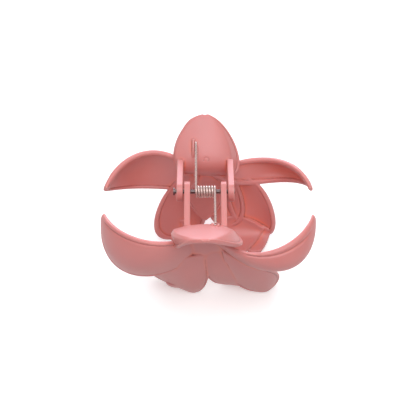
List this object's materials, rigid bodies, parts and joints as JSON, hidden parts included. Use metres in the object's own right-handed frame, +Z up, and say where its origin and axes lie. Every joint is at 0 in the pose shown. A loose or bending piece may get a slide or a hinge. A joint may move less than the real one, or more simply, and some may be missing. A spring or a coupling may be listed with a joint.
{
  "type": "claw clip",
  "caption": "Flower-shaped claw hair clip: two petal jaws with thumb-handle petals, turning on a lugged hinge pin and closed by a coiled torsion spring.",
  "frame": {"origin": "on the ground, under the middle of the closed clip standing on its lower petals", "axes": "+X along the hinge pin, +Y towards the back jaw, +Z up, from the lower petals to the handles"},
  "size_m": [0.09, 0.0734, 0.0592],
  "materials": {
    "jaw_plastic": "satin salmon-pink moulded plastic, slightly translucent",
    "spring_coating": "pale pink coated spring wire",
    "pin_steel": "plain steel"
  },
  "bodies": {
    "back": {"back_jaw": "jaw_plastic", "torsion_spring": "spring_coating", "hinge_pin": "pin_steel"},
    "front": {"front_jaw": "jaw_plastic"}
  },
  "joints": [
    {"name": "jaw_hinge", "type": "hinge", "parent": "back", "child": "front", "pos_m": [-0.0012, 0, 0.048], "axis": [-1, 0, 0], "range_deg": [0, 55], "stiffness_Nm_per_rad": 0.12, "springref_deg": -57.3, "deforming": ["torsion_spring"]}
  ]
}
